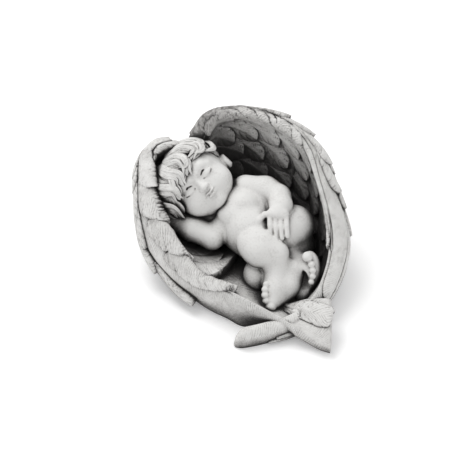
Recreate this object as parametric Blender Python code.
"""A sleeping angel: a child curled up in a nest made of its own two wings, cast as one piece.

Blender works in metres with +Z up. The origin is on the ground under the middle of the casting's
box, and the viewer stands on the -Y side, looking down. Walls, floor and feathers have sizes of their own.
The free forms are drawn in millimetres for a statue of DRAWN_WIDTH and scale with STATUE_WIDTH.
Child points are given as they are seen: right, up and out of a board that leans back from the viewer.
"""

import math

import bmesh
import bpy
import numpy as np
from mathutils import Matrix, Vector

# Driving dimensions, in metres
STATUE_WIDTH = 0.255
WALL = 0.011
FLOOR = 0.014
FOOT_RADIUS = 0.086
FEATHER_RISE = 0.0045
QUILL_RISE = 0.0025
LOCKS = 13

# Mesh quality
VOXEL = 0.0021
SMOOTHING_ROUNDS = 3
TRIANGLES_WANTED = 9400

DRAWN_WIDTH = 255.0
MM = STATUE_WIDTH / DRAWN_WIDTH
LEAN = math.radians(45)
NEST_CENTRE = (13.0, 14.0)

# Wing stations from the shoulder to the tip, in drawn millimetres: the middle of the rim (x, y, z), how
# far the wall swells outwards under the rim, the rim's thickness as a share of WALL, the foot of the
# inner face and the foot of the outer face
FAR_WING = [
    (-52, 106, 111, 8, 1.2, (-33, 72, 12), (-41, 83, 0)),
    (-54, 116, 125, 12, 1.2, (-27, 76, 12), (-34, 88, 0)),
    (-46, 125, 140, 17, 1.1, (-20, 80, 12), (-24, 94, 0)),
    (-30, 129, 147, 22, 1.0, (-10, 85, 12), (-12, 98, 0)),
    (-2, 125, 154, 26, 1.0, (7, 88, 12), (5, 102, 0)),
    (30, 114, 155, 31, 1.0, (30, 86, 12), (33, 100, 0)),
    (58, 96, 150, 34, 1.0, (52, 77, 12), (60, 89, 0)),
    (78, 75, 134, 34, 1.0, (70, 62, 12), (80, 71, 0)),
    (90, 50, 112, 34, 1.0, (81, 43, 12), (94, 48, 0)),
    (101, 24, 90, 30, 1.0, (87, 20, 12), (101, 22, 0)),
    (106, -2, 68, 24, 1.0, (86, 1, 12), (98, -1, 0)),
    (101, -30, 46, 12, 1.1, (80, -18, 12), (90, -25, 0)),
    (86, -60, 30, 4, 1.2, (67, -37, 8), (77, -46, 0)),
    (60, -84, 20, 2, 1.3, (60, -78, 6), (58, -88, 0)),
    (26, -99, 16, 1, 1.5, (24, -92, 6), (24, -106, 0)),
    (-8, -106, 14, 1, 1.5, (-9, -99, 6), (-10, -114, 0)),
]
NEAR_WING = [
    (-58, 106, 113, 14, 1.6, (-34, 72, 12), (-38, 86, 0)),
    (-73, 101, 117, 20, 2.2, (-43, 64, 12), (-50, 75, 0)),
    (-88, 88, 121, 24, 2.4, (-50, 54, 12), (-60, 63, 0)),
    (-99, 74, 115, 24, 2.1, (-54, 44, 12), (-67, 49, 0)),
    (-106, 52, 102, 21, 1.6, (-58, 46, 14), (-73, 34, 0)),
    (-109, 25, 84, 13, 1.1, (-58, 44, 16), (-75, 18, 0)),
    (-105, 3, 68, 5, 1.0, (-52, 44, 18), (-74, 3, 0)),
    (-94, -15, 54, 2, 0.9, (-40, 44, 20), (-69, -12, 0)),
    (-76, -36, 42, 2, 0.9, (-20, 40, 20), (-60, -30, 0)),
    (-54, -50, 36, 2, 0.9, (0, 36, 20), (-42, -50, 0)),
    (-32, -57, 36, 2, 0.9, (14, 28, 20), (-19, -64, 0)),
    (-9, -63, 36, 2, 0.9, (24, 12, 20), (0, -72, 0)),
    (23, -78, 28, 1, 0.9, (38, -24, 22), (21, -72, 0)),
    (56, -95, 20, 0, 0.9, (49, -57, 27), (50, -62, 15)),
    (84, -112, 12, 0, 0.9, (75, -60, 33), (76, -65, 22)),
    (101, -121, 8, 0, 0.9, (101, -63, 37), (101, -67, 26)),
]


def board(right, up, out):
    """A point given as the viewer sees it, in drawn millimetres."""
    y = up * math.sin(LEAN) - out * math.cos(LEAN)
    z = up * math.cos(LEAN) + out * math.sin(LEAN)
    return np.array((right, y, z), float)


def unit(vectors):
    return vectors / np.maximum(np.linalg.norm(vectors, axis=-1, keepdims=True), 1e-9)


def spline(points, t):
    """A Catmull-Rom curve through the points, read at t from 0 to 1, and straight beyond its ends."""
    points = np.asarray(points, float)
    last = len(points) - 1
    ends = np.concatenate([2 * points[:1] - points[1:2], points, 2 * points[-1:] - points[-2:-1]])
    t = np.asarray(t, float)
    place = np.clip(t, 0, 1) * last
    cell = np.clip(place.astype(int), 0, last - 1)
    u = (place - cell)[..., None]
    a, b, c, d = (ends[cell + k] for k in range(4))
    curve = 0.5 * (2 * b + (c - a) * u + (2 * a - 5 * b + 4 * c - d) * u**2 + (3 * b - a - 3 * c + d) * u**3)
    start, stop = (points[1] - points[0]) * last, (points[-1] - points[-2]) * last
    return curve + np.minimum(t, 0)[..., None] * start + np.maximum(t - 1, 0)[..., None] * stop


BOARD_AXES = (board(1, 0, 0), board(0, 1, 0), board(0, 0, 1))
HEAD_AXES = (unit(board(-0.76, 0.65, 0)), unit(board(0.65, 0.76, 0)), unit(board(0, 0, 1)))


class Wing:
    """One wing wall. t runs from shoulder to tip, and w from the inner foot over the rim to the outer foot."""

    LIP = 0.07

    def __init__(self, stations, turn, first_round, last_round):
        self.stations = np.array([(*row[:5], *row[5], *row[6]) for row in stations], float)
        self.turn, self.first_round, self.last_round = turn, first_round, last_round
        self.even = np.linspace(0, 1, 400)
        steps = np.linalg.norm(np.diff(spline(self.stations[:, :3], self.even), axis=0), axis=1)
        self.so_far = np.concatenate([[0], np.cumsum(steps)])

    def along_spline(self, t):
        """The spline's own parameter for a share t of the rim's length."""
        inside = np.interp(np.clip(t, 0, 1) * self.so_far[-1], self.so_far, self.even)
        return inside + np.minimum(t, 0) + np.maximum(t - 1, 0)

    def ahead(self, t):
        """The way along the rim."""
        u = self.along_spline(t)
        return unit(spline(self.stations[:, :3], u + 0.01) - spline(self.stations[:, :3], u - 0.01))

    def fullness(self, t):
        """1 along the wall, closing as a quarter ellipse at both ends."""
        start = np.clip(1 - t / self.first_round, 0, 1)
        stop = np.clip(1 - (1 - t) / self.last_round, 0, 1)
        return np.sqrt(1 - 0.98 * np.maximum(start, stop) ** 2)

    def point(self, t, v, side):
        """A Bezier curve rises from the foot of one face to the rim and swells outwards under the rim."""
        row, ahead = spline(self.stations, self.along_spline(t)), self.ahead(t)
        outward = unit(np.stack([-ahead[..., 1], ahead[..., 0], 0 * t], -1)) * self.turn
        lean = row[..., :3] - (row[..., 5:8] + row[..., 8:11]) / 2
        through = unit(np.cross(lean, ahead)) * self.turn
        rim = row[..., :3] + through * WALL / MM / 2 * side * row[..., 4:5]
        foot = row[..., 5:8] if side < 0 else row[..., 8:11]
        span = rim - foot
        low = foot + span * (0.4, 0.4, 0.15)
        high = rim + outward * row[..., 3:4] - span * (0, 0, 0.30)
        v = np.asarray(v * (0.4 + 0.6 * self.fullness(t)), float)[..., None]
        w = 1 - v
        return w**3 * foot + 3 * w**2 * v * low + 3 * w * v**2 * high + v**3 * rim

    def around(self, t, w):
        """Right round the wall: w is 0 at the inner foot, 1 on the half-round rim and 2 at the outer foot."""
        v = np.minimum(np.minimum(w, 2 - w) / (1 - self.LIP), 1)
        inner, outer = self.point(t, v, -1), self.point(t, v, 1)
        below = (self.point(t, v - 0.02, -1) + self.point(t, v - 0.02, 1)) / 2
        middle, half = (inner + outer) / 2, (outer - inner) / 2 * self.fullness(t)[..., None]
        turn = (np.clip((w - 1) / (2 * self.LIP), -0.5, 0.5) * math.pi)[..., None]
        rise = unit(middle - below) * np.linalg.norm(half, axis=-1, keepdims=True)
        return middle + half * np.sin(turn) + rise * np.cos(turn)

    def frame(self, t, w):
        """Point, the way out of the stone, and the steps along t and w."""
        h = 0.004
        along = (self.around(t + h, w) - self.around(t - h, w)) / (2 * h)
        across = (self.around(t, w + h) - self.around(t, w - h)) / (2 * h)
        return self.around(t, w), unit(np.cross(along, across)) * self.turn, along, across


def grid_faces(rows, columns, wrap=False):
    """Quads of a grid of points laid out row by row."""
    index = np.arange(rows * columns).reshape(rows, columns)
    if wrap:
        index = np.concatenate([index, index[:, :1]], 1)
    corners = [index[:-1, :-1], index[:-1, 1:], index[1:, 1:], index[1:, :-1]]
    return np.stack(corners, -1).reshape(-1, 4).tolist()


class Clay:
    """Collects closed shapes in drawn millimetres, to be fused into one body."""

    def __init__(self):
        self.mesh = bmesh.new()

    def add(self, points, faces):
        """One closed shape, with its faces turned outwards."""
        corners = [self.mesh.verts.new(Vector(p)) for p in np.asarray(points, float)]
        made = [self.mesh.faces.new([corners[i] for i in face]) for face in faces]
        bmesh.ops.recalc_face_normals(self.mesh, faces=made)

    def tube(self, rings):
        """A closed shape from a stack of equal rings, with a flat cap on each end."""
        rings = np.asarray(rings, float)
        count, around = rings.shape[:2]
        faces = grid_faces(count, around, wrap=True)
        faces.append(list(range(around)))
        faces.append(list(range((count - 1) * around, count * around)))
        self.add(rings.reshape(-1, 3), faces)

    def ellipsoid(self, centre, radii, axes=None):
        turned = Matrix.Identity(3) if axes is None else Matrix(np.array(axes, float).T.tolist())
        place = Matrix.Translation(Vector(centre)) @ turned.to_4x4() @ Matrix.Diagonal((*radii, 1))
        bmesh.ops.create_uvsphere(self.mesh, u_segments=24, v_segments=14, radius=1, matrix=place)

    def limb(self, *joints):
        """Rounded cones from joint to joint. A joint is a point and a radius."""
        turns = np.linspace(0, 2 * math.pi, 20, endpoint=False)
        for (start, r0), (stop, r1) in zip(joints, joints[1:]):
            axis = np.asarray(stop, float) - start
            span = np.linalg.norm(axis)
            slope = math.asin(max(-0.95, min(0.95, (r0 - r1) / span)))
            low = [(start, r0, a) for a in np.linspace(-math.pi / 2 + 0.06, slope, 7)]
            high = [(stop, r1, a) for a in np.linspace(slope, math.pi / 2 - 0.06, 7)]
            axis = axis / span
            first = unit(np.cross(axis, (0.31, 0.52, 0.79)))
            second = np.cross(axis, first)
            round_about = np.outer(np.cos(turns), first) + np.outer(np.sin(turns), second)
            self.tube([c + axis * r * math.sin(a) + round_about * r * math.cos(a) for c, r, a in low + high])

    def object(self, name):
        mesh = bpy.data.meshes.new(name)
        self.mesh.transform(Matrix.Scale(MM, 4))
        self.mesh.to_mesh(mesh)
        self.mesh.free()
        made = bpy.data.objects.new(name, mesh)
        bpy.context.scene.collection.objects.link(made)
        return made


def wing_wall(clay, wing):
    """The bare wall: rings right round it, from the inner foot over the rim to the outer foot."""
    stops = (1 - np.cos(np.linspace(0, math.pi, 90))) / 2
    t, w = np.meshgrid(stops, np.linspace(0, 2, 48), indexing="ij")
    clay.tube(wing.around(t, w))


def feather(clay, wing, t, w, length, width, turn, lift, steps=(9, 6)):
    """One feather on a wing wall: turn is towards the outside in degrees, lift is how far its tip stands off.

    Its outline widens from the quill and closes in a round tip, and its underside is sunk in the wall.
    """
    s, q = np.meshgrid(1 - (1 - np.linspace(0, 1, steps[0])) ** 1.6, np.linspace(-1, 1, steps[1]), indexing="ij")
    closing = 1 - np.maximum((s - 0.62) / 0.38, 0) ** 2.2
    outline = (0.62 + 0.38 * np.minimum(s / 0.45, 1)) * np.sqrt(np.maximum(closing, 0.004))
    _, _, along, across = wing.frame(np.array([t]), np.array([w]))
    a, b = s * length, q * width / 2 * outline
    cosine, sine = math.cos(math.radians(turn)), math.sin(math.radians(turn))
    t = t + (a * cosine - b * sine) / np.linalg.norm(along[0])
    w = w + (a * sine + b * cosine) / np.linalg.norm(across[0])
    point, normal, _, _ = wing.frame(t, w)
    top = FEATHER_RISE / MM * (1 - 0.3 * np.abs(q) ** 3) + lift * s
    top = top + QUILL_RISE / MM * np.exp(-((q / 0.16) ** 2)) * (1 - s)
    clay.tube(np.concatenate([point + normal * top[..., None], (point - normal * 3)[:, ::-1]], 1))


def feather_rows(clay, wing, rows):
    """Rows of feathers: each row gives w, the first and last t, how many, length, width, turn and lift."""
    for w, first, last, count, length, width, turn, lift in rows:
        for k in range(count):
            t = first + (last - first) * k / max(count - 1, 1)
            feather(clay, wing, t, w, length, width, turn, lift)


# Feather rows: w, the first and the last t, how many, length, width, turn and lift
FAR_FEATHERS = [
    (0.22, 0.06, 0.44, 7, 38, 24, -16, 3),
    (0.38, 0.04, 0.44, 7, 42, 25, -20, 4),
    (0.54, 0.03, 0.43, 7, 44, 26, -22, 4),
    (0.70, 0.02, 0.42, 7, 48, 27, -22, 5),
    (0.86, 0.02, 0.38, 6, 58, 28, -17, 5),
    (0.26, 0.44, 0.56, 2, 120, 24, 3, 2),
    (0.46, 0.42, 0.54, 2, 124, 24, 2, 2),
    (0.67, 0.40, 0.52, 2, 128, 24, 1, 2),
    (0.86, 0.38, 0.50, 2, 130, 18, 0, 2),
    (1.74, 0.08, 0.50, 7, 46, 30, 6, 2),
    (1.54, 0.06, 0.48, 7, 46, 30, 4, 3),
    (1.33, 0.05, 0.46, 7, 48, 28, 3, 4),
    (1.72, 0.52, 0.62, 2, 130, 28, -3, 1),
    (1.48, 0.50, 0.60, 2, 130, 28, -2, 1),
    (1.24, 0.40, 0.40, 1, 190, 34, -1, 1),
    (1.05, 0.36, 0.46, 2, 150, 26, 2, 1),
    (1.08, 0.12, 0.40, 6, 54, 22, 8, 5),
]
NEAR_FEATHERS = [
    (0.28, 0.10, 0.24, 3, 38, 28, -16, 3),
    (0.47, 0.08, 0.26, 4, 40, 28, -16, 4),
    (0.65, 0.07, 0.27, 4, 44, 28, -14, 5),
    (0.82, 0.12, 0.27, 3, 44, 26, -10, 5),
    (0.34, 0.32, 0.52, 3, 56, 30, -10, 4),
    (0.54, 0.30, 0.54, 4, 60, 31, -9, 5),
    (0.74, 0.27, 0.56, 5, 64, 30, -7, 5),
    (0.92, 0.24, 0.54, 5, 60, 26, -3, 5),
    (0.84, 0.60, 0.60, 1, 116, 34, 1, 2),
    (0.50, 0.68, 0.68, 1, 66, 30, -6, 4),
    (1.66, 0.08, 0.50, 6, 46, 30, 4, 3),
    (1.42, 0.06, 0.50, 6, 50, 30, 2, 3),
    (1.20, 0.14, 0.52, 5, 54, 27, 1, 4),
    (1.00, 0.22, 0.50, 5, 56, 22, 3, 4),
]


def nest(clay):
    """Floor, two wing walls and their feathers."""
    far, near = Wing(FAR_WING, 1, 0.05, 0.03), Wing(NEAR_WING, -1, 0.05, 0.01)
    turns = np.linspace(0, 2 * math.pi, 48, endpoint=False)
    rings = []
    for height, reach in ((-3, -1), (FLOOR / MM * 0.4, 3), (FLOOR / MM, 0)):
        x = NEST_CENTRE[0] + (FOOT_RADIUS / MM + reach) * np.cos(turns)
        y = NEST_CENTRE[1] + (FOOT_RADIUS / MM + reach) * np.sin(turns)
        rings.append(np.stack([x, y, np.full_like(x, height)], -1))
    clay.tube(rings)
    for wing, rows in ((far, FAR_FEATHERS), (near, NEAR_FEATHERS)):
        wing_wall(clay, wing)
        feather_rows(clay, wing, rows)


def bed(clay):
    """The solid mass that carries the child's back, head and feet."""
    clay.limb((board(30, 30, -4), 30), (board(-10, 80, -20), 34), (board(-52, 104, -24), 34))
    clay.limb((board(24, 8, 8), 18), (board(66, 8, 22), 16))
    clay.limb((board(-64, 74, 4), 18), (board(-34, 74, 8), 20))


def child_body(clay):
    """Torso, arms and legs."""
    clay.limb((board(25, 42, 24), 27), (board(7, 60, 22), 29), (board(-5, 82, 16), 28), (board(-20, 92, 14), 16))
    clay.limb((board(30, 62, 14), 24), (board(20, 88, 12), 22))
    clay.limb((board(4, 107, 18), 15), (board(27, 105, 20), 14.5), (board(42, 97, 27), 14))
    clay.limb((board(42, 97, 27), 13.5), (board(44, 87, 38), 13.5), (board(41.5, 79, 46), 11.5))
    clay.limb((board(-18, 68, 20), 15), (board(-34, 50, 29), 13.5), (board(-57, 61, 24), 15), (board(-79, 71, 16), 12))
    clay.limb((board(30, 48, 22), 26), (board(59, 64, 22), 23.5), (board(66, 42, 8), 16), (board(57, 27, 30), 12))
    clay.limb((board(14, 44, 44), 19), (board(21, 37, 49), 20), (board(36, 31, 49), 16), (board(38, 20, 47), 13))
    clay.ellipsoid(board(15, 6, 34), (14, 20, 17), BOARD_AXES)


def hand(clay, palm, across, along, reach, radius):
    """A padded palm with four fingers side by side, and a thumb."""
    clay.limb((palm - across * 7, radius * 1.8), (palm + across * 7, radius * 1.8))
    for k in range(4):
        root = palm + across * (k - 1.5) * radius * 1.8 + along * reach * 0.2
        longer = 1 + 0.15 * (k in (1, 2))
        clay.limb((root, radius), (root + along * reach * longer, radius * 0.85))
    clay.limb((palm - across * 9, radius), (palm - across * 21 + along * 8, radius * 0.9))


def toes(clay, places, radius):
    """Toes in a row, the big one first."""
    for k, place in enumerate(places):
        clay.ellipsoid(board(*place), [radius * (1.5 if k == 0 else 1.0)] * 3)


def child_ends(clay):
    """Hands and feet."""
    hand(clay, board(40.5, 75.5, 49.5), unit(board(20, -1, 2)), unit(board(1, -20, 5)), 18, 3.6)
    clay.limb((board(58, 15, 41), 12), (board(47, -3, 46), 12))
    clay.limb((board(39, 17, 46), 13.5), (board(36, -8, 49), 12.5), (board(33, -22, 52), 9.5))
    toes(clay, [(33, -29, 54), (28.5, -22, 56), (27, -15, 57.5), (27, -8, 57.5), (28.5, -1.5, 56)], 4.3)
    clay.ellipsoid(board(77, 13, 44), (12.5, 22, 13), BOARD_AXES)
    clay.limb((board(57, 27, 30), 11.5), (board(70, 18, 40), 11))
    clay.ellipsoid(board(70, -13, 36), (12, 12, 12), BOARD_AXES)
    toes(clay, [(76, 28, 56), (79.5, 19.5, 57.5), (80.5, 12.7, 57.5), (80.5, 6, 57), (79, -1, 56)], 4)


def child_head(clay):
    """A round infant's head that faces the viewer, its crown to the upper left, with combed locks."""
    centre = board(-55, 117, 16)
    crown, side, face = HEAD_AXES

    def at(to_side, to_crown, to_face):
        return centre + side * to_side + crown * to_crown + face * to_face

    clay.ellipsoid(at(0, 3, -2), (39, 38, 39), (side, crown, face))
    clay.ellipsoid(at(0, -16, 8), (32, 30, 29), (side, crown, face))
    for way in (-1, 1):
        clay.ellipsoid(at(17 * way, -20, 18), (15, 15, 14), (side, crown, face))
        clay.ellipsoid(at(35 * way, -17, 0), (6, 11, 9), (side, crown, face))
        clay.ellipsoid(at(14 * way, -5, 30), (8, 4, 5), (side, crown, face))
        clay.limb((at(5 * way, 5, 36), 3), (at(20 * way, 4, 31), 3))
    clay.limb((at(0, 0, 36), 3), (at(0, -14, 40), 4.5))
    clay.ellipsoid(at(0, -24, 34), (8, 3.5, 5), (side, crown, face))
    clay.ellipsoid(at(0, -37, 24), (10, 9, 9), (side, crown, face))
    for k in range(LOCKS):
        turn = math.radians(-120 + 230 * k / (LOCKS - 1))
        reach = 35 + 3 * (k % 2)
        root = at(14 * math.sin(turn), 26 + 8 * math.cos(turn), 26)
        middle = at(30 * math.sin(turn + 0.12), 4 + 30 * math.cos(turn + 0.12), 25)
        tip = at(reach * math.sin(turn + 0.3), 2 + 31 * math.cos(turn + 0.3), 17)
        clay.limb((root, 7), (middle, 7.5), (tip, 4))


def remove_everything():
    for old in list(bpy.data.objects):
        bpy.data.objects.remove(old, do_unlink=True)


def stone():
    material = bpy.data.materials.new("cast stone")
    material.use_nodes = True
    shader = material.node_tree.nodes["Principled BSDF"]
    shader.inputs["Base Color"].default_value = (0.72, 0.71, 0.69, 1)
    shader.inputs["Roughness"].default_value = 0.8
    shader.inputs["Metallic"].default_value = 0.0
    return material


def evaluated_copy(source, name):
    """A new object with the mesh that the source's modifiers make, keeping only its outer skin."""
    graph = bpy.context.evaluated_depsgraph_get()
    mesh = bpy.data.meshes.new_from_object(source.evaluated_get(graph))
    skin = bmesh.new()
    skin.from_mesh(mesh)
    unseen = set(skin.verts)
    islands = []
    while unseen:
        island, edge = set(), [unseen.pop()]
        while edge:
            vertex = edge.pop()
            island.add(vertex)
            for link in vertex.link_edges:
                other = link.other_vert(vertex)
                if other in unseen:
                    unseen.remove(other)
                    edge.append(other)
        islands.append(island)
    largest = max(islands, key=len)
    bmesh.ops.delete(skin, geom=[v for v in skin.verts if v not in largest], context="VERTS")
    skin.to_mesh(mesh)
    skin.free()
    made = bpy.data.objects.new(name, mesh)
    bpy.context.scene.collection.objects.link(made)
    return made


def cast(clay, name):
    """Fuses the shapes, softens the joints and cuts the underside flat."""
    rough = clay.object("clay")
    fuse = rough.modifiers.new("Fuse", "REMESH")
    fuse.mode = "VOXEL"
    fuse.voxel_size = VOXEL
    soften = rough.modifiers.new("Soften", "SMOOTH")
    soften.factor = 0.5
    soften.iterations = SMOOTHING_ROUNDS
    bpy.context.view_layer.update()
    statue = evaluated_copy(rough, name)
    bpy.data.objects.remove(rough, do_unlink=True)

    thin = statue.modifiers.new("Fewer faces", "DECIMATE")
    thin.ratio = TRIANGLES_WANTED / (2 * len(statue.data.polygons))
    thin.use_collapse_triangulate = True

    bpy.ops.mesh.primitive_cube_add(size=1, location=(0, 0, -STATUE_WIDTH / 2))
    ground = bpy.context.object
    ground.name = "ground_cutter"
    ground.scale = (2 * STATUE_WIDTH, 2 * STATUE_WIDTH, STATUE_WIDTH)
    ground.hide_render = True
    ground.display_type = "WIRE"
    level = statue.modifiers.new("Flat underside", "BOOLEAN")
    level.object = ground
    level.operation = "DIFFERENCE"
    statue.data.materials.append(stone())
    return statue


def centre(statue):
    """Brings the middle of the statue's box over the origin."""
    bpy.context.view_layer.update()
    shape = statue.evaluated_get(bpy.context.evaluated_depsgraph_get()).data
    corners = np.array([vertex.co[:] for vertex in shape.vertices])
    middle = (corners.min(0) + corners.max(0)) / 2
    statue.data.transform(Matrix.Translation((-middle[0], -middle[1], 0)))


def main():
    remove_everything()
    clay = Clay()
    nest(clay)
    bed(clay)
    child_body(clay)
    child_ends(clay)
    child_head(clay)
    centre(cast(clay, "sleeping_angel"))


main()
